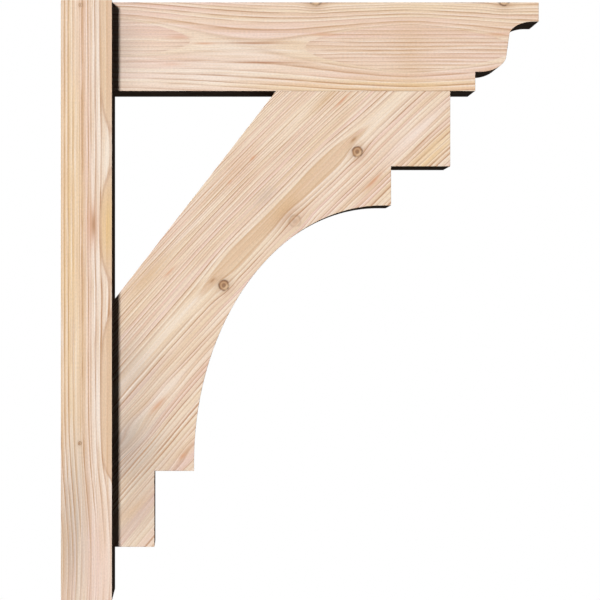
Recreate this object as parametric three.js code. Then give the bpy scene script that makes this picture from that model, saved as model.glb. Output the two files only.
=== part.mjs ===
// A solid timber outlooker, the bracket that carries a roof overhang at a gable.
// Three sawn pieces: an upright backplate against the wall, an arm with an ogee end,
// and a knee brace with stepped ends and an elliptical arch between them.
// Millimetres. +X runs out of the wall, +Z is up, and the bracket is symmetric about Y = 0.
// The origin is the centre of the backplate's wall face.

import * as THREE from "three";

// Overall sizes
const projection = 609.6; // wall face to the arm's tip
const height = 762; // the backplate's whole length

// Backplate
const backplateWidth = 139.7;
const backplateThickness = 64.8;

// Arm and brace are sawn from stock of one width, so their sides are flush
const stockWidth = 88.9;

// Arm
const armDepth = 113.4;

// Ogee at the arm's end, read from the tip down: a square tip, a hollow, a leaning face, a round, a square nib
const tipHeight = 24.7;
const nibHeight = 24.5;
const nibSetback = 81.1; // tip to nib
const hollowSetback = 35.3; // tip to the top of the leaning face, where the hollow turns
const hollowReach = 28; // the hollow's length along the tip's underside
const hollowDrop = 16.8; // and down the leaning face
const roundSetback = 44.2; // tip to the foot of the leaning face, where the round turns
const roundReach = 30; // the round's length along the nib's upper side
const roundRise = 20.1; // and up the leaning face

// Brace, measured out from the backplate's face and down from the arm's underside
const braceReach = 431.7;
const braceDrop = 582.7;
const backEdgeReach = 208.9; // where the straight back edge meets the arm
const backEdgeDrop = 269.3; // where it meets the backplate
const noseHeight = 96.3; // upper end: a nose, a tread back to a riser, then the arch
const noseTread = 75.7;
const noseRiser = 50.1;
const toeWidth = 53.6; // lower end: a toe, a riser up to a tread, then the arch
const toeRiser = 97.1;
const toeTread = 50.6;
const archLand = 11; // straight stretch at each end of the arch

// Finish
const arris = 1.2; // eased edge round both sides of each piece
const arrisSteps = 2;
const archSteps = 44;
const ogeeSteps = 14;

// Planes that the pieces share
const top = height / 2;
const armUnderside = top - armDepth;
const backplateFace = backplateThickness;

// Handle length of the cubic curve that follows a quarter ellipse
const quarterHandle = (4 / 3) * (Math.SQRT2 - 1);

const point = (x, z) => new THREE.Vector2(x, z);

// The point at a distance from one point towards another.
function towards(from, to, distance) {
  return from.clone().add(to.clone().sub(from).setLength(distance));
}

function lineThrough(shape, ...points) {
  for (const p of points) shape.lineTo(p.x, p.y);
}

// A quarter ellipse from the shape's last point to the end, touching both straight lines that meet at the corner.
function turnAt(shape, corner, end) {
  const leave = shape.currentPoint.clone().lerp(corner, quarterHandle);
  const arrive = end.clone().lerp(corner, quarterHandle);
  shape.bezierCurveTo(leave.x, leave.y, arrive.x, arrive.y, end.x, end.y);
}

function backplateOutline() {
  const shape = new THREE.Shape();
  shape.moveTo(0, -top);
  lineThrough(shape, point(backplateFace, -top), point(backplateFace, top), point(0, top));
  shape.closePath();
  return shape;
}

function armOutline() {
  const tipUnderside = top - tipHeight;
  const nibTop = armUnderside + nibHeight;
  const nibEnd = projection - nibSetback;
  const hollowCorner = point(projection - hollowSetback, tipUnderside);
  const roundCorner = point(projection - roundSetback, nibTop);

  const shape = new THREE.Shape();
  shape.moveTo(backplateFace, top);
  lineThrough(
    shape,
    point(backplateFace, armUnderside),
    point(nibEnd, armUnderside),
    point(nibEnd, nibTop),
    point(roundCorner.x - roundReach, nibTop),
  );
  turnAt(shape, roundCorner, towards(roundCorner, hollowCorner, roundRise));
  lineThrough(shape, towards(hollowCorner, roundCorner, hollowDrop));
  turnAt(shape, hollowCorner, point(hollowCorner.x + hollowReach, tipUnderside));
  lineThrough(shape, point(projection, tipUnderside), point(projection, top));
  shape.closePath();
  return shape;
}

function braceOutline() {
  const noseFace = backplateFace + braceReach;
  const noseFoot = armUnderside - noseHeight;
  const riserFace = noseFace - noseTread;
  const archTop = noseFoot - noseRiser;
  const toeBottom = armUnderside - braceDrop;
  const toeFace = backplateFace + toeWidth;
  const toeTop = toeBottom + toeRiser;
  const archSide = toeFace + toeTread;

  const shape = new THREE.Shape();
  shape.moveTo(backplateFace, armUnderside - backEdgeDrop);
  lineThrough(
    shape,
    point(backplateFace, toeBottom),
    point(toeFace, toeBottom),
    point(toeFace, toeTop),
    point(archSide, toeTop),
    point(archSide, toeTop + archLand),
  );
  turnAt(shape, point(archSide, archTop), point(riserFace - archLand, archTop));
  lineThrough(
    shape,
    point(riserFace, archTop),
    point(riserFace, noseFoot),
    point(noseFace, noseFoot),
    point(noseFace, armUnderside),
    point(backplateFace + backEdgeReach, armUnderside),
  );
  shape.closePath();
  return shape;
}

// One sawn piece: an outline in the XZ plane, cut to a width that is centred on Y = 0, with its arrises eased.
function timber(name, outline, width, curveSegments, colour) {
  const geometry = new THREE.ExtrudeGeometry(outline, {
    depth: width - 2 * arris,
    curveSegments,
    bevelEnabled: true,
    bevelThickness: arris,
    bevelSize: arris,
    bevelOffset: -arris,
    bevelSegments: arrisSteps,
  });
  geometry.translate(0, 0, arris - width / 2);
  geometry.rotateX(Math.PI / 2);
  const material = new THREE.MeshStandardMaterial({ color: colour, roughness: 0.62, metalness: 0 });
  const mesh = new THREE.Mesh(geometry, material);
  mesh.name = name;
  return mesh;
}

const outlooker = new THREE.Group();
outlooker.add(
  timber("backplate", backplateOutline(), backplateWidth, 1, 0xe5caae),
  timber("arm", armOutline(), stockWidth, ogeeSteps, 0xe7ceb7),
  timber("brace", braceOutline(), stockWidth, archSteps, 0xe3c8b1),
);

export default outlooker;
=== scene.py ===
import math
import bmesh
import bpy
from mathutils import Euler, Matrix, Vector


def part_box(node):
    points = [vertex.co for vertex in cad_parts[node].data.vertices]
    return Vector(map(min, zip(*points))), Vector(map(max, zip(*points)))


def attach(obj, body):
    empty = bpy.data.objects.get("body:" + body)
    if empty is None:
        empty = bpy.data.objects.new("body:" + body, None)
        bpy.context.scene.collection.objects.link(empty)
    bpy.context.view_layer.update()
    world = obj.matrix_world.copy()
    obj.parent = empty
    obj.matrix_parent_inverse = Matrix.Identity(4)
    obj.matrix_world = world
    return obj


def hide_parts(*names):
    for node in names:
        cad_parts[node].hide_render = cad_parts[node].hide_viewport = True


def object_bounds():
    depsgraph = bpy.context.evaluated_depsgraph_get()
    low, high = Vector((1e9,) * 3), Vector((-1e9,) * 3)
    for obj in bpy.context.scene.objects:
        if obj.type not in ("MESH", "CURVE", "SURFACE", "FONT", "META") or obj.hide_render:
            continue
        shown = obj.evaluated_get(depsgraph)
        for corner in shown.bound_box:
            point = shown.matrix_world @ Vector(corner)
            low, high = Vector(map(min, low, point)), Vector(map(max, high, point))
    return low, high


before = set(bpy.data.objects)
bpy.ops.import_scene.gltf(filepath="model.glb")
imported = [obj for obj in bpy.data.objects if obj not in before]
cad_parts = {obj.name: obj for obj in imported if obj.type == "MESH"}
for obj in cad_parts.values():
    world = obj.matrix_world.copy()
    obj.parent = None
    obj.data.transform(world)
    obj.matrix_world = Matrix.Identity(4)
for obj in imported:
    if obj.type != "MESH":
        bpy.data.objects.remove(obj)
cadLow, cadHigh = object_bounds()
scene = bpy.context.scene
print("Frame loaded")

# Camera: square on to the bracket's side, with its lens shifted to frame the whole of it
view = {
    "outFromWall": 0.1625,
    "distance": 3.32,  # to the plane through the middle of the arm and brace
    "height": -0.014,
    "lens": 153.75,
    "sensor": 36,
    "shiftX": 0.185,
    "shiftY": 0.0189,
}


def makeCamera():
    lens = bpy.data.cameras.new("camera")
    lens.lens = view["lens"]
    lens.sensor_width = view["sensor"]
    lens.shift_x = view["shiftX"]
    lens.shift_y = view["shiftY"]
    camera = bpy.data.objects.new("camera", lens)
    camera.location = (view["outFromWall"], -view["distance"], view["height"])
    camera.rotation_euler = (math.radians(90), 0, 0)
    scene.collection.objects.link(camera)
    scene.camera = camera
    return camera


camera = makeCamera()
print("Camera placed")


# Shader helpers
def nodeAdder(tree):
    def add(kind, inputs=None, **settings):
        # an input is a plain value, or the socket that it is linked to
        node = tree.nodes.new(kind)
        for name, value in settings.items():
            setattr(node, name, value)
        for key, value in (inputs or {}).items():
            if isinstance(value, bpy.types.NodeSocket):
                tree.links.new(value, node.inputs[key])
            else:
                node.inputs[key].default_value = value
        return node

    return add


def paint(red, green, blue):
    # from the 0 to 255 values of a screen colour to the light values that a shader takes
    def light(value):
        share = value / 255
        return share / 12.92 if share <= 0.04045 else ((share + 0.055) / 1.055) ** 2.4

    return (light(red), light(green), light(blue), 1)


millimetre = 0.001

wood = {
    "pale": paint(255, 241, 229),
    "cream": paint(250, 229, 209),
    "pink": paint(243, 210, 196),
    "tan": paint(226, 189, 150),
    "honey": paint(246, 224, 190),
    "straw": paint(242, 205, 147),
    # grey of stained timber, also used as painted shade on the arm and brace beside the backplate
    "greyStainAndPaintedShade": paint(190, 173, 161),
    "rust": paint(214, 156, 120),
    "lateWood": paint(177, 118, 76),
    "amber": paint(188, 132, 84),
    "endGrain": paint(204, 162, 120),
    "knot": paint(176, 130, 90),
    "knotPale": paint(216, 182, 146),
    "knotRim": paint(116, 82, 60),
}

# Noise has the length, depth and width of its blots in millimetres. Stops are a ramp's places and levels
grain = {
    "wanderDepth": 90,
    "wanderWidth": 60,
    "wanderDetail": 2,
    "ripple": {"size": (26, 14, 9), "detail": 2},
    "fade": {"size": (60, 20, 6), "detail": 2, "stops": [(0.3, 0.4), (0.56, 1.0)]},
    "streak": {"size": (90, 2.2, 1.5), "detail": 3, "stops": [(0.42, 0.0), (0.66, 1.0)]},
    "glint": {"size": (130, 2.6, 1.9), "detail": 2, "stops": [(0.54, 0.0), (0.74, 1.0)]},
    "warm": {"size": (260, 60, 20), "detail": 2, "stops": [(0.4, 0.0), (0.6, 1.0)]},
    "patchy": {"size": (150, 30, 12), "detail": 1, "stops": [(0.38, 0.0), (0.56, 1.0)]},
    "bead": {"size": (3, 2, 1.4), "detail": 1, "stops": [(0.3, 0.91), (0.7, 1.0)]},
    "fibre": {"size": (26, 0.6, 0.42), "detail": 2, "stops": [(0.25, 0.93), (0.75, 1.0)]},
    "lateStops": [(0, 0.2), (0.06, 0.0), (0.5, 0.03), (0.72, 0.28), (0.88, 1.0), (0.95, 0.9), (1.0, 0.2)],
    "earlyStops": [(0.04, 0.0), (0.1, 0.8), (0.4, 0.0)],
    "toneStops": [(0.25, 0.0), (0.75, 1.0)],
    "bandStops": [(0.55, 0.0), (0.9, 1.0)],
    "unevenDetail": 1,
    "settleWidth": 12,  # how far outside the innermost ring the rings are fully uneven
    "innerStart": 50.4,  # first number of the straight lines, away from those of the rings
    "innerCrispness": 0.9,
    "leastLine": 0.4,  # the faintest ring's share of a full line
    "leastStreak": 0.4,  # what a calm place leaves of the streaks
    "bodyPower": 1.6,
    "spotDepth": 25,
    "glintTone": 0.6,
    "earlyTone": 0.8,
    "halo": (4, 4),  # place past the innermost ring, and reach
    "edge": (-0.3, 0.8),
}

# Places and reaches are shares of the knot's radius. Noise and wobble are in millimetres
knotLook = {
    "partLength": 2.2,
    "partWidth": 1.6,
    "wobble": {"size": (7, 9, 5), "detail": 2},
    "wobbleSize": 1.6,
    "leastRadius": 0.01,
    "coreStops": [(0.86, 1.0), (1.0, 0.0)],
    "halo": (0.6, 1.2),
    "haloTone": 0.35,
    "rim": (0.88, 0.15),
    "rimPatches": {"size": (6, 9, 6), "detail": 1, "stops": [(0.34, 0.35), (0.56, 1.0)]},
    "rimTone": 0.9,
    "ringTurns": 15,
    "ringTone": 0.25,
    "ringPaleness": 0.2,
    "paleStops": [(0.1, 0.0), (0.5, 0.7)],
    "pith": (0.12, 0.2),
    "pithTone": 0.7,
}

cutEnd = {
    "facingStops": [(0.35, 0.0), (0.9, 1.0)],
    "poreLength": 3,
    "poreScale": 2.4,
    "poreDetail": 2,
    "poreStops": [(0.3, 0.8), (0.6, 1.04)],
    "stain": 0.55,
    "tone": 0.75,
}

surface = {
    "roughness": 0.56,
    "lateRoughness": -0.1,
    "fibreRoughness": 0.12,
    "specular": 0.3,
    "lateRelief": 0.6,
    "reliefStrength": 0.35,
    "reliefDepth": 0.00025,
}


def boardMaterial(name, board):
    # Solid timber: growth rings about a wandering heart line, cut wherever the piece's surface is.
    # Along the grain is s, across the visible face is u, and depth into that face is v, in millimetres.
    material = bpy.data.materials.new(name)
    material.use_nodes = True
    tree = material.node_tree
    tree.nodes.clear()
    add = nodeAdder(tree)

    turn = Euler((0, math.radians(-board["grainAngle"]), 0))
    place = Vector(board["figureCentre"])
    coordinates = add("ShaderNodeTexCoord")
    mapping = add(
        "ShaderNodeMapping",
        {
            "Vector": coordinates.outputs["Object"],
            "Location": place,
            "Rotation": turn,
            "Scale": (millimetre, millimetre, millimetre),
        },
        vector_type="TEXTURE",
    )
    s, v, u = add("ShaderNodeSeparateXYZ", {0: mapping.outputs[0]}).outputs

    def alongAndAcross(x, z):
        offset = Vector((x, place.y, z)) - place
        offset.rotate(turn.to_matrix().inverted())
        return offset.x / millimetre, offset.z / millimetre

    def maths(operation, *values, clamp=False):
        node = add("ShaderNodeMath", dict(enumerate(values)), operation=operation, use_clamp=clamp)
        return node.outputs[0]

    def product(first, *others):
        for other in others:
            first = maths("MULTIPLY", first, other)
        return first

    def vectors(operation, first, second, output=0):
        node = add("ShaderNodeVectorMath", {0: first, 1: second}, operation=operation)
        return node.outputs[output]

    def join(x, y, z):
        return add("ShaderNodeCombineXYZ", {0: x, 1: y, 2: z}).outputs[0]

    def mix(share, first, second, blend="MIX"):
        inputs = {0: share, 6: first, 7: second}  # 6 and 7 are the node's two colours
        return add("ShaderNodeMix", inputs, data_type="RGBA", blend_type=blend).outputs[2]

    def ramp(value, stops, mode="EASE"):
        node = add("ShaderNodeValToRGB", {0: value})
        node.color_ramp.interpolation = mode
        points = node.color_ramp.elements
        while len(points) < len(stops):
            points.new(0.5)
        for point, (position, level) in zip(points, stops):
            point.position = position
            point.color = (level, level, level, 1)
        return node.outputs[0]

    def noise(vector, scale, detail):
        inputs = {"Vector": vector, "Scale": scale, "Detail": detail}
        return add("ShaderNodeTexNoise", inputs).outputs["Fac"]

    def stretched(size, detail, sideways=u):
        length, depth, width = size
        alongShare = maths("DIVIDE", s, length)
        depthShare = maths("DIVIDE", v, depth)
        return noise(join(alongShare, depthShare, maths("DIVIDE", sideways, width)), 1.0, detail)

    def patches(kind, sideways=u):
        return ramp(stretched(kind["size"], kind["detail"], sideways), kind["stops"])

    def centred(value, size):
        return product(maths("SUBTRACT", value, 0.5), size)

    def hump(value, at, reach):
        # 1 at the place, and softly less to both sides
        share = maths("DIVIDE", maths("SUBTRACT", value, at), reach)
        return maths("EXPONENT", product(share, share, -1))

    def humps(value, start, rows):
        total = start
        for at, reach, height in rows:
            total = maths("MULTIPLY_ADD", hump(value, at, reach), height, total)
        return total

    # Grain wanders, bows and parts a little round each knot
    wanderSize = (board["wanderLength"], grain["wanderDepth"], grain["wanderWidth"])
    wander = centred(stretched(wanderSize, grain["wanderDetail"]), board["wander"])
    ripple = centred(stretched(grain["ripple"]["size"], grain["ripple"]["detail"]), board["ripple"])
    fromBow = maths("SUBTRACT", s, board["bowCentre"])
    across = maths("ADD", u, product(fromBow, fromBow, board["bow"]))
    across = maths("ADD", across, maths("ADD", wander, ripple))
    rippled = join(s, v, maths("ADD", u, ripple))

    def spot(x, z, length, width):
        # a soft-edged place in the timber, 1 at its middle
        placeAlong, placeAcross = alongAndAcross(x, z)
        offset = vectors("SUBTRACT", rippled, (placeAlong, 0, placeAcross))
        share = vectors("DIVIDE", offset, (length, grain["spotDepth"], width))
        return maths("EXPONENT", product(vectors("DOT_PRODUCT", share, share, "Value"), -1))

    # a soft patch of paint, used for stains and also for painted shade beside the backplate
    def patch(colour, x, z, length, width, stain, tone):
        return mix(product(spot(x, z, length, width), tone), colour, wood[stain])

    # Lines weaken at the calm places and part round them
    calmness = 1
    for x, z, length, width, share, spread in board["calm"]:
        nearby = spot(x, z, length, width)
        calmness = product(maths("MULTIPLY_ADD", nearby, -share, 1), calmness)
        fromCalm = maths("SUBTRACT", u, alongAndAcross(x, z)[1])
        across = maths("MULTIPLY_ADD", product(fromCalm, nearby), -spread, across)

    for x, z, radius, deepest, _ in board["knots"]:
        knotAlong, knotAcross = alongAndAcross(x, z)
        near = product(
            hump(s, knotAlong, radius * knotLook["partLength"]),
            hump(u, knotAcross, radius * knotLook["partWidth"]),
            maths("LESS_THAN", v, deepest),
        )
        fromKnot = maths("SUBTRACT", u, knotAcross)
        across = maths("MULTIPLY_ADD", product(fromKnot, near), -board["parting"], across)

    # Distance from the heart line, whose depth changes show most beside it
    side = maths("SUBTRACT", across, humps(s, board["heartAcross"], board["heartRises"]))
    trunkTaper = product(s, board["taper"], v)
    inward = maths("ADD", maths("SUBTRACT", v, board["heartDepth"]), trunkTaper)

    def heartDistance(depth):
        squares = maths("MULTIPLY_ADD", side, side, product(depth, depth))
        return maths("MULTIPLY_ADD", across, board["lean"], maths("SQRT", squares))

    evenReach = heartDistance(inward)
    rises = product(humps(s, 0, board["heartDips"]), hump(side, 0, board["figureWidth"]))
    rises = product(rises, hump(v, 0, board["figureDepth"]))
    fromHeart = heartDistance(maths("SUBTRACT", inward, rises))

    # Rings of uneven width outside the innermost one, which they follow in part
    pastInner = maths("SUBTRACT", fromHeart, board["innerReach"])
    figure = maths("SUBTRACT", fromHeart, evenReach)
    outward = maths("MULTIPLY_ADD", figure, board["follow"], evenReach)
    outward = maths("SUBTRACT", outward, board["innerReach"])
    uneven = noise(join(outward, 0, board["seed"]), board["unevenScale"], grain["unevenDetail"])
    settled = maths("DIVIDE", outward, grain["settleWidth"], clamp=True)
    closer = maths("MULTIPLY_ADD", side, board["closer"], 1)
    outerCount = product(maths("DIVIDE", outward, board["ringWidth"]), closer)
    settle = product(settled, board["unevenness"])
    outerCount = maths("MULTIPLY_ADD", maths("SUBTRACT", uneven, 0.5), settle, outerCount)

    # Straight lines inside the innermost ring
    innerCount = maths("DIVIDE", maths("ADD", across, v), board["innerWidth"])
    innerCount = maths("ADD", innerCount, grain["innerStart"])
    isInner = maths("LESS_THAN", pastInner, 0)
    innerMore = maths("SUBTRACT", innerCount, outerCount)
    ringCount = maths("MULTIPLY_ADD", isInner, innerMore, outerCount)
    innerFade = maths("MULTIPLY_ADD", isInner, board["innerLines"] - 1, 1)

    # Each ring has its own chance of a strong line, a pink tone and a dark band
    ringPhase = maths("FRACT", ringCount)
    ringNumber = maths("ADD", maths("FLOOR", ringCount), board["seed"])
    chance = add("ShaderNodeTexWhiteNoise", {"W": ringNumber}, noise_dimensions="1D").outputs["Color"]
    lineChance, toneChance, bandChance = add("ShaderNodeSeparateColor", {0: chance}).outputs
    strength = maths("MULTIPLY_ADD", lineChance, 1 - grain["leastLine"], grain["leastLine"])
    strength = product(strength, patches(grain["fade"]), calmness)
    late = product(ramp(ringPhase, grain["lateStops"], "LINEAR"), strength)
    early = product(ramp(ringPhase, grain["earlyStops"], "LINEAR"), strength)
    band = product(ramp(bandChance, grain["bandStops"]), patches(grain["patchy"]))

    # Narrow streaks that follow the grain, and fibres
    streak = maths("MULTIPLY_ADD", calmness, 1 - grain["leastStreak"], grain["leastStreak"])
    streak = product(patches(grain["streak"], across), streak)
    glint = patches(grain["glint"], across)
    fibre = stretched(grain["fibre"]["size"], grain["fibre"]["detail"])

    # Colours, from the broad ones to the fine
    colour = mix(ramp(toneChance, grain["toneStops"]), wood["cream"], wood["pink"])
    colour = mix(product(patches(grain["warm"]), board["warmth"]), colour, wood["honey"])
    colour = mix(product(band, board["bandTone"]), colour, wood["tan"])
    body = product(maths("POWER", ringPhase, grain["bodyPower"]), board["bodyTone"])
    colour = mix(product(body, strength), colour, wood["tan"])
    colour = mix(product(hump(pastInner, *grain["halo"]), board["haloTone"]), colour, wood["pale"])
    inside = maths("MULTIPLY_ADD", pastInner, -grain["innerCrispness"], 0.5, clamp=True)
    inside = product(inside, board["innerTone"], hump(s, 0, board["innerSpan"]))
    colour = mix(inside, colour, wood[board["innerPaint"]])
    # stains, and on the arm and brace also painted shade where the backplate shades them
    for stain in board["stainsAndPaintedShade"]:
        colour = patch(colour, *stain)
    colour = mix(product(streak, board["streaks"]), colour, wood["tan"])
    colour = mix(product(glint, innerFade, grain["glintTone"]), colour, wood["pale"])
    colour = mix(product(early, innerFade, grain["earlyTone"]), colour, wood["pale"])
    colour = mix(product(late, board["lineTone"], innerFade), colour, wood[board["linePaint"]])
    edge = product(hump(pastInner, *grain["edge"]), board["edgeTone"])
    colour = mix(edge, colour, wood["lateWood"])
    colour = mix(1.0, colour, ramp(fibre, grain["fibre"]["stops"]), "MULTIPLY")
    colour = mix(1.0, colour, patches(grain["bead"]), "MULTIPLY")

    # Knots: rings of their own in a darker core, with a thin dark rim
    for x, z, radius, deepest, tone in board["knots"]:
        knotAlong, knotAcross = alongAndAcross(x, z)
        awayAlong = maths("SUBTRACT", s, knotAlong)
        awayAcross = maths("SUBTRACT", u, knotAcross)
        reach = maths("MULTIPLY_ADD", awayAlong, awayAlong, product(awayAcross, awayAcross))
        wobble = stretched(knotLook["wobble"]["size"], knotLook["wobble"]["detail"])
        reach = maths("ADD", maths("SQRT", reach), centred(wobble, knotLook["wobbleSize"]))
        knotTaper = maths("SQRT", maths("MULTIPLY_ADD", v, -1 / deepest, 1, clamp=True))
        ownRadius = maths("MULTIPLY_ADD", knotTaper, radius, knotLook["leastRadius"])
        reach = maths("DIVIDE", reach, ownRadius)
        core = ramp(reach, knotLook["coreStops"])
        halo = product(hump(reach, *knotLook["halo"]), knotTaper, knotLook["haloTone"] * tone)
        rim = product(hump(reach, *knotLook["rim"]), patches(knotLook["rimPatches"]), knotTaper)
        ownRings = maths("SINE", product(reach, knotLook["ringTurns"]))
        ownRings = maths("MULTIPLY_ADD", ownRings, knotLook["ringTone"], knotLook["ringPaleness"])
        paleHalf = ramp(maths("DIVIDE", awayAcross, -radius), knotLook["paleStops"])
        face = mix(maths("ADD", ownRings, paleHalf), wood["knot"], wood["knotPale"])
        pith = product(hump(reach, *knotLook["pith"]), core, knotLook["pithTone"] * tone)
        colour = mix(halo, colour, wood["knot"])
        colour = mix(product(core, tone), colour, face)
        colour = mix(product(rim, knotLook["rimTone"] * tone), colour, wood["knotRim"])
        colour = mix(pith, colour, wood["knotRim"])

    for fleck in board["flecks"]:
        colour = patch(colour, *fleck)

    # Cut ends drink in light: warmer, darker and pored
    grainWay = Vector((1, 0, 0))
    grainWay.rotate(turn)
    facing = vectors("DOT_PRODUCT", coordinates.outputs["Normal"], grainWay, "Value")
    endOn = ramp(maths("ABSOLUTE", facing), cutEnd["facingStops"])
    porePlace = join(maths("DIVIDE", s, cutEnd["poreLength"]), v, u)
    pores = ramp(noise(porePlace, cutEnd["poreScale"], cutEnd["poreDetail"]), cutEnd["poreStops"])
    ended = mix(cutEnd["stain"], colour, wood["endGrain"])
    ended = mix(1.0, ended, pores, "MULTIPLY")
    colour = mix(product(endOn, cutEnd["tone"]), colour, ended)

    rough = maths("MULTIPLY_ADD", late, surface["lateRoughness"], surface["roughness"])
    rough = maths("MULTIPLY_ADD", fibre, surface["fibreRoughness"], rough)
    bump = add(
        "ShaderNodeBump",
        {
            "Strength": surface["reliefStrength"],
            "Distance": surface["reliefDepth"],
            "Height": maths("MULTIPLY_ADD", late, surface["lateRelief"], fibre),
        },
    )
    shader = add(
        "ShaderNodeBsdfPrincipled",
        {
            "Base Color": colour,
            "Roughness": rough,
            "Specular IOR Level": surface["specular"],
            "Normal": bump.outputs[0],
        },
    )
    add("ShaderNodeOutputMaterial", {0: shader.outputs[0]})
    return material


# Modelling helpers
sawn = {
    "curveShare": 99.99,  # percent of both edges beside a corner, just short of the whole
    "mergeWithin": 0.00005,
    "easeFrom": 25,  # least angle in degrees between two faces whose edge is eased
    "arrisSegments": 3,
    "sharpFrom": 35,
}


def cutBoard(name, corners, width, arris, curves):
    # A side outline of a few corners, some turned into curves, pulled out to its width and eased.
    # curves gives a corner's number and its curve's segments. The curve runs to both neighbours.
    shape = bmesh.new()
    points = [shape.verts.new((x, -width / 2, z)) for x, z in corners]
    shape.faces.new(points)
    for number, segments in curves.items():
        bmesh.ops.bevel(
            shape,
            geom=[points[number]],
            affect="VERTICES",
            offset=sawn["curveShare"],
            offset_type="PERCENT",
            segments=segments,
            profile=0.5,
            material=-1,
        )
    bmesh.ops.remove_doubles(shape, verts=shape.verts, dist=sawn["mergeWithin"])
    pulled = bmesh.ops.extrude_face_region(shape, geom=list(shape.faces))
    moved = [item for item in pulled["geom"] if isinstance(item, bmesh.types.BMVert)]
    bmesh.ops.translate(shape, verts=moved, vec=(0, width, 0))
    bmesh.ops.recalc_face_normals(shape, faces=shape.faces)
    least = math.radians(sawn["easeFrom"])
    bmesh.ops.bevel(
        shape,
        geom=[edge for edge in shape.edges if edge.calc_face_angle(0) > least],
        affect="EDGES",
        offset=arris,
        offset_type="OFFSET",
        segments=sawn["arrisSegments"],
        profile=0.5,
        material=-1,
    )
    bmesh.ops.recalc_face_normals(shape, faces=shape.faces)
    mesh = bpy.data.meshes.new(name)
    shape.to_mesh(mesh)
    shape.free()
    mesh.shade_smooth()
    mesh.set_sharp_from_angle(angle=math.radians(sawn["sharpFrom"]))
    piece = bpy.data.objects.new(name, mesh)
    scene.collection.objects.link(piece)
    weighted = piece.modifiers.new("flat faces stay flat", "WEIGHTED_NORMAL")
    weighted.keep_sharp = True
    return piece


def dress(piece, node, material):
    piece.data.materials.append(material)
    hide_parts(node)
    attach(piece, "root")


# Backplate. The grain is in millimetres, and places on the face are x and z in metres
backplate = {
    "arris": 0.0005,
    "grainAngle": 90,  # degrees up from the arm's direction
    "figureCentre": (0.0, -0.06985, 0.0),  # where the grain is measured from
    "wanderLength": 330,
    "wander": 2.5,
    "ripple": 0.7,
    "bow": 0.0,  # one bend of all the grain, straight at its centre
    "bowCentre": 0,
    "parting": 0.4,  # of the grain round a knot
    "heartAcross": -77,
    "heartRises": [(-330, 110, -11)],  # place along the grain, reach, and change across the face
    "heartDepth": 29,
    "heartDips": [  # place along the grain, reach, and change in depth
        (190, 57, 12),
        (6, 45, 9),
        (-30, 90, 3),
        (-245, 30, 9),
        (-320, 70, 13),
        (-430, 70, 10),
    ],
    "figureWidth": 42,  # how far to the side the dips still show
    "figureDepth": 70,
    "taper": 0.0002,  # the trunk's, which gives the far side its pointed figures
    "lean": 0.0,  # one side's rings wider than the other's
    "innerReach": 40.5,  # radius of the innermost ring
    "innerWidth": 9,  # between the straight lines inside it
    "innerPaint": "tan",
    "innerTone": 0.62,
    "innerLines": 0.25,
    "innerSpan": 2000,
    "edgeTone": 0.35,  # of the innermost ring's own line
    "haloTone": 0.5,  # of the pale wood just outside it
    "follow": 0.25,  # how much the rings outside keep its shape
    "ringWidth": 4.7,
    "closer": 0,  # how fast the rings close up to the side
    "unevenness": 2.4,
    "unevenScale": 0.15,
    "calm": [  # x, z, length, width, how calm, and how far lines part
        (0.0560, -0.34, 80, 21, 0.93, 0),
        (0.0150, -0.38, 90, 30, 0.5, 0),
        (0.0575, 0.1905, 34, 7, 0.9, 0.3),
    ],
    "warmth": 0.5,
    "bandTone": 0.6,
    "bodyTone": 0.9,  # of each ring's slow darkening towards its late wood
    "streaks": 0.65,
    "linePaint": "amber",
    "lineTone": 1.0,
    "seed": 3.7,
    "stainsAndPaintedShade": [  # x, z, length, width, paint, strength
        (0.0120, 0.08, 270, 20, "straw", 0.75),
        (0.0360, 0.1, 420, 4.5, "pink", 0.6),
        (0.0440, 0.0, 700, 5, "pale", 0.9),
        (0.0520, -0.34, 100, 16, "pink", 0.7),
        (0.0160, -0.28, 110, 18, "greyStainAndPaintedShade", 0.75),
        (0.0600, 0.0990, 46, 9, "straw", 1.0),
        (0.0570, 0.1905, 38, 9, "pale", 0.8),
        (0.0570, 0.1905, 38, 9, "honey", 0.35),
        (0.0580, 0.0060, 28, 8, "cream", 0.8),
    ],
    "knots": [  # x, z, radius, depth, strength
        (0.025, 0.3746, 2.6, 30, 0.45),
        (0.024, -0.1816, 2.4, 30, 0.75),
    ],
    "flecks": [  # as the stains, but over the lines and knots
        (0.0400, 0.0950, 26, 7, "rust", 0.65),
        (0.0415, 0.0960, 15, 2.4, "knot", 0.75),
    ],
}


def makeBackplate():
    low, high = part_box("backplate")
    corners = [(low.x, low.z), (high.x, low.z), (high.x, high.z), (low.x, high.z)]
    piece = cutBoard("backplateBoard", corners, high.y - low.y, backplate["arris"], {})
    dress(piece, "backplate", boardMaterial("backplateTimber", backplate))


makeBackplate()
print("Backplate made")


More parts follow.
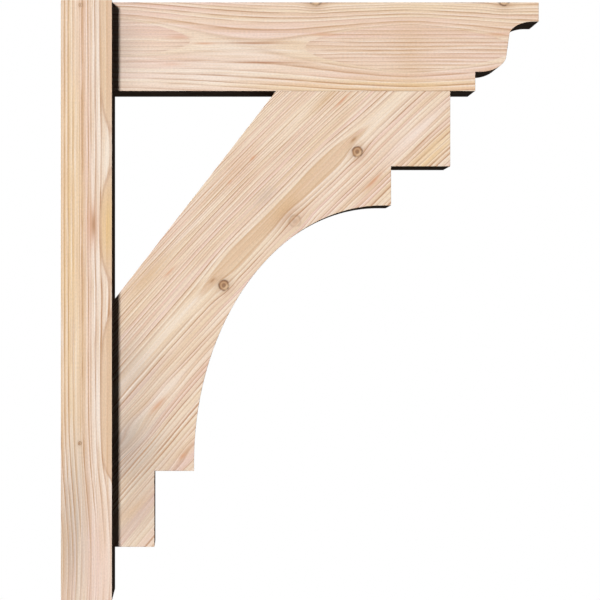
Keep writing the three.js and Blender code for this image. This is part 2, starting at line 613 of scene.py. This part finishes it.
# Arm, with the ogee in its end. Its grain is set as the backplate's is
arm = {
    "arris": 0.0005,
    "tipHeight": 0.0247,
    "nibHeight": 0.0245,
    "nibSetback": 0.0811,
    "hollowSetback": 0.0353,
    "hollowReach": 0.028,
    "hollowDrop": 0.0168,
    "roundSetback": 0.0442,
    "roundReach": 0.03,
    "roundRise": 0.0201,
    "ogeeSegments": 24,
    "grainAngle": 0,
    "figureCentre": (0.4449, -0.04445, 0.3325),
    "wanderLength": 240,
    "wander": 3,
    "ripple": 0.7,
    "bow": 0.0,
    "bowCentre": 0,
    "parting": 0.4,
    "heartAcross": -7,
    "heartRises": [(-400, 190, 14)],
    "heartDepth": 40,
    "heartDips": [(0, 107, -21), (0, 36, -4), (-400, 113, -16)],
    "figureWidth": 60,
    "figureDepth": 45,
    "taper": 0.0004,
    "lean": 0.1,
    "innerReach": 34.8,
    "innerWidth": 4.8,
    "innerPaint": "pink",
    "innerTone": 0.3,
    "innerLines": 1.0,
    "innerSpan": 2000,
    "edgeTone": 0.06,
    "haloTone": 0.0,
    "follow": 0.75,
    "ringWidth": 4.8,
    "closer": 0.001,
    "unevenness": 1.4,
    "unevenScale": 0.11,
    "calm": [
        (0.1000, 0.3330, 60, 24, 0.75, 0.1),
        (0.0850, 0.2900, 60, 20, 0.6, 0),
        (0.2150, 0.3220, 40, 12, 0.6, 0.4),
        (0.3130, 0.3220, 36, 10, 0.65, 0.3),
    ],
    "warmth": 0.4,
    "bandTone": 0.3,
    "bodyTone": 0.5,
    "streaks": 0.5,
    "linePaint": "lateWood",
    "lineTone": 0.75,
    "seed": 11.3,
    "stainsAndPaintedShade": [
        (0.4449, 0.3380, 120, 30, "tan", 0.25),
        (0.4449, 0.3100, 20, 60, "tan", 0.4),
        # painted shade: the arm's end darkened beside the backplate, where the backplate shades it
        (0.0650, 0.3200, 32, 70, "greyStainAndPaintedShade", 0.7),
        (0.2100, 0.3150, 70, 20, "pale", 0.45),
        (0.1760, 0.2820, 90, 18, "pale", 0.8),
        (0.4200, 0.2740, 190, 10, "straw", 0.7),
        (0.1300, 0.3720, 60, 6, "pink", 0.4),
        (0.4700, 0.3760, 160, 14, "honey", 0.75),
    ],
    "knots": [(0.3246, 0.3842, 8.2, 60, 1), (0.5651, 0.3842, 8.2, 60, 1)],
    "flecks": [
        (0.3340, 0.3400, 16, 2.4, "rust", 0.6),
        (0.5560, 0.3400, 16, 2.4, "rust", 0.55),
        (0.2450, 0.3290, 38, 1.3, "lateWood", 0.8),
        (0.2620, 0.3040, 42, 1.3, "lateWood", 0.7),
        (0.1500, 0.3365, 14, 2.6, "rust", 0.45),
        (0.1820, 0.3285, 14, 1.5, "rust", 0.7),
        (0.1400, 0.3020, 14, 2.2, "rust", 0.35),
    ],
}


def makeArm():
    low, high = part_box("arm")
    tipUnderside = high.z - arm["tipHeight"]
    nibTop = low.z + arm["nibHeight"]
    nibEnd = high.x - arm["nibSetback"]
    hollowCorner = Vector((high.x - arm["hollowSetback"], tipUnderside))
    roundCorner = Vector((high.x - arm["roundSetback"], nibTop))
    leaning = (hollowCorner - roundCorner).normalized()
    corners = [
        (low.x, high.z),
        (low.x, low.z),
        (nibEnd, low.z),
        (nibEnd, nibTop),
        (roundCorner.x - arm["roundReach"], nibTop),
        roundCorner,
        roundCorner + leaning * arm["roundRise"],
        hollowCorner - leaning * arm["hollowDrop"],
        hollowCorner,
        (hollowCorner.x + arm["hollowReach"], tipUnderside),
        (high.x, tipUnderside),
        (high.x, high.z),
    ]
    curves = {corners.index(corner): arm["ogeeSegments"] for corner in (roundCorner, hollowCorner)}
    piece = cutBoard("armBoard", corners, high.y - low.y, arm["arris"], curves)
    dress(piece, "arm", boardMaterial("armTimber", arm))


makeArm()
print("Arm made")


# Brace, with its stepped ends and the arch between them. Its grain is set as the backplate's is
brace = {
    "arris": 0.0005,
    "backEdgeReach": 0.2089,
    "backEdgeDrop": 0.2693,
    "noseHeight": 0.0963,
    "noseTread": 0.0757,
    "noseRiser": 0.0501,
    "toeWidth": 0.0536,
    "toeRiser": 0.0971,
    "toeTread": 0.0506,
    "archLand": 0.011,
    "archSegments": 96,
    "grainAngle": 45,
    "figureCentre": (0.2715, -0.04445, 0.125),
    "wanderLength": 200,
    "wander": 4,
    "ripple": 0.8,
    "bow": 0.00013,
    "bowCentre": 20,
    "parting": 0.45,
    "heartAcross": -13,
    "heartRises": [],
    "heartDepth": 20.8,
    "heartDips": [(85, 50, -4), (0, 60, -2.8), (-85, 50, -4)],
    "figureWidth": 60,
    "figureDepth": 45,
    "taper": 0.0003,
    "lean": 0.0,
    "innerReach": 20,
    "innerWidth": 6,
    "innerPaint": "tan",
    "innerTone": 0.75,
    "innerLines": 0.3,
    "innerSpan": 210,
    "edgeTone": 0.1,
    "haloTone": 0.08,
    "follow": 1.0,
    "ringWidth": 3.6,
    "closer": 0.002,
    "unevenness": 1.9,
    "unevenScale": 0.12,
    "calm": [
        (0.0900, -0.1650, 36, 15, 0.8, 0.8),
        (0.1340, -0.1130, 32, 9, 0.8, 0.5),
        (0.0950, -0.2750, 70, 30, 0.85, 0.2),
        (0.1650, -0.1950, 24, 10, 0.5, 0.7),
        (0.4500, 0.2130, 50, 9, 0.8, 0.4),
        (0.1100, 0.0290, 46, 8, 0.8, 0.4),
        (0.2900, 0.2300, 60, 20, 0.35, 0.1),
    ],
    "warmth": 0.5,
    "bandTone": 0.4,
    "bodyTone": 0.45,
    "streaks": 0.5,
    "linePaint": "lateWood",
    "lineTone": 0.9,
    "seed": 23.9,
    "stainsAndPaintedShade": [
        (0.3380, 0.2580, 22, 5, "tan", 0.8),
        (0.1080, 0.0310, 46, 9, "tan", 0.85),
        (0.2600, 0.1330, 17, 8, "greyStainAndPaintedShade", 0.4),
        (0.2850, 0.1180, 20, 7, "straw", 0.4),
        (0.2275, 0.1667, 30, 16, "rust", 0.3),
        (0.2876, 0.1092, 24, 12, "lateWood", 0.4),
        (0.4500, 0.2130, 50, 8, "pale", 0.6),
        (0.4500, 0.2130, 50, 8, "pink", 0.35),
        (0.3937, 0.1475, 30, 7, "tan", 0.6),
        (0.4706, 0.1850, 46, 10, "straw", 0.7),
        (0.1340, -0.1130, 44, 9, "pale", 0.35),
        # partly painted shade beside the backplate, where it shades the brace, and partly a grey stain
        (0.0700, -0.0850, 50, 50, "greyStainAndPaintedShade", 0.55),
        (0.0720, -0.1900, 56, 56, "greyStainAndPaintedShade", 0.95),
        (0.0900, -0.2800, 60, 26, "greyStainAndPaintedShade", 0.4),
        (0.0905, -0.2680, 30, 6, "tan", 0.55),
        (0.1596, -0.1927, 14, 5, "tan", 0.6),
    ],
    "knots": [
        (0.3777, 0.1900, 7.2, 40, 1),
        (0.2071, 0.0192, 7.2, 40, 1),
        (0.2978, 0.1016, 8.5, 30, 0.25),
    ],
    "flecks": [
        (0.3728, 0.2056, 5, 1.6, "knot", 0.9),
        (0.1926, 0.0255, 5, 1.6, "knot", 0.9),
        (0.2440, 0.1821, 5, 1.6, "rust", 0.9),
        (0.2146, 0.1514, 4, 1.6, "rust", 0.6),
        (0.3579, 0.2554, 12, 1.6, "rust", 0.9),
        (0.3980, 0.1520, 14, 2.2, "rust", 0.9),
        (0.1370, 0.0360, 11, 1.5, "rust", 0.8),
        (0.1225, -0.1339, 13, 3.6, "rust", 0.6),
        (0.1545, -0.1990, 5, 2.0, "rust", 0.8),
        (0.1970, -0.0820, 20, 1.5, "lateWood", 0.6),
        (0.4600, 0.2020, 34, 1.2, "lateWood", 0.6),
    ],
}


def makeBrace():
    low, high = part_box("brace")
    noseFoot = high.z - brace["noseHeight"]
    riserFace = high.x - brace["noseTread"]
    archTop = noseFoot - brace["noseRiser"]
    toeFace = low.x + brace["toeWidth"]
    toeTop = low.z + brace["toeRiser"]
    archSide = toeFace + brace["toeTread"]
    archCorner = (archSide, archTop)
    corners = [
        (low.x, high.z - brace["backEdgeDrop"]),
        (low.x, low.z),
        (toeFace, low.z),
        (toeFace, toeTop),
        (archSide, toeTop),
        (archSide, toeTop + brace["archLand"]),
        archCorner,
        (riserFace - brace["archLand"], archTop),
        (riserFace, archTop),
        (riserFace, noseFoot),
        (high.x, noseFoot),
        (high.x, high.z),
        (low.x + brace["backEdgeReach"], high.z),
    ]
    curves = {corners.index(archCorner): brace["archSegments"]}
    piece = cutBoard("braceBoard", corners, high.y - low.y, brace["arris"], curves)
    dress(piece, "brace", boardMaterial("braceTimber", brace))


makeBrace()
print("Brace made")

# Studio: a key light that the camera carries at its upper left, a soft light from above,
# a white backdrop and a pale floor
studio = {
    "keyAside": -0.37,
    "keyAbove": 0.29,
    "keyPower": 3.45,
    "keyAngle": 9.5,
    "keyBounces": 0,
    "topPower": 0.25,
    "topAngle": 30,
    "backdrop": (1.0, 1.0, 1.0, 1),
    "ambient": 0.02,
    "floorDrop": 0.24,
    "floorRadius": 3.0,
    "floorSegments": 96,
    "floorColour": (0.86, 0.86, 0.85, 1),
    "floorGlow": 0.55,  # share of its look that is its own pale light, so that shadows stay soft
    "floorFadeFrom": 0.6,
    "floorFadeTo": 1.9,
}


def makeLights():
    key = bpy.data.lights.new("key", "SUN")
    key.energy = studio["keyPower"]
    key.angle = math.radians(studio["keyAngle"])
    key.cycles.max_bounces = studio["keyBounces"]
    keyObject = bpy.data.objects.new("key", key)
    scene.collection.objects.link(keyObject)
    keyObject.parent = camera
    towardsKey = Vector((studio["keyAside"], studio["keyAbove"], 1))
    keyObject.rotation_euler = towardsKey.to_track_quat("Z", "Y").to_euler()
    above = bpy.data.lights.new("above", "SUN")
    above.energy = studio["topPower"]
    above.angle = math.radians(studio["topAngle"])
    scene.collection.objects.link(bpy.data.objects.new("above", above))


def makeBackdrop():
    world = bpy.data.worlds.new("studio")
    scene.world = world
    world.use_nodes = True
    world.node_tree.nodes.clear()
    add = nodeAdder(world.node_tree)
    seen = add("ShaderNodeLightPath").outputs["Is Camera Ray"]
    ambient = add("ShaderNodeBackground", {"Color": (1, 1, 1, 1), "Strength": studio["ambient"]})
    white = add("ShaderNodeBackground", {"Color": studio["backdrop"], "Strength": 1.0})
    both = add("ShaderNodeMixShader", {0: seen, 1: ambient.outputs[0], 2: white.outputs[0]})
    add("ShaderNodeOutputWorld", {0: both.outputs[0]})


def makeFloor():
    below = Vector(((cadLow.x + cadHigh.x) / 2, 0, cadLow.z - studio["floorDrop"]))
    shape = bmesh.new()
    bmesh.ops.create_circle(
        shape,
        cap_ends=True,
        radius=studio["floorRadius"],
        segments=studio["floorSegments"],
    )
    bmesh.ops.translate(shape, verts=shape.verts, vec=below)
    mesh = bpy.data.meshes.new("floor")
    shape.to_mesh(mesh)
    shape.free()
    floor = bpy.data.objects.new("floor", mesh)
    scene.collection.objects.link(floor)
    floor.visible_diffuse = False
    floor.visible_glossy = False

    # Paper that turns into the backdrop's white away from its middle
    material = bpy.data.materials.new("floorPaper")
    material.use_nodes = True
    material.node_tree.nodes.clear()
    add = nodeAdder(material.node_tree)
    coordinates = add("ShaderNodeTexCoord").outputs["Object"]
    fromMiddle = add("ShaderNodeVectorMath", {0: coordinates, 1: below}, operation="DISTANCE")
    fade = add(
        "ShaderNodeMapRange",
        {
            "Value": fromMiddle.outputs["Value"],
            "From Min": studio["floorFadeFrom"],
            "From Max": studio["floorFadeTo"],
            "To Min": studio["floorGlow"],
        },
        interpolation_type="SMOOTHSTEP",
    )
    paper = add("ShaderNodeBsdfDiffuse", {"Color": studio["floorColour"]})
    glow = add("ShaderNodeEmission", {"Color": studio["backdrop"], "Strength": 1.0})
    both = add("ShaderNodeMixShader", {0: fade.outputs[0], 1: paper.outputs[0], 2: glow.outputs[0]})
    add("ShaderNodeOutputMaterial", {0: both.outputs[0]})
    mesh.materials.append(material)


makeLights()
makeBackdrop()
makeFloor()
scene.view_settings.view_transform = "Standard"
print("Studio lit")
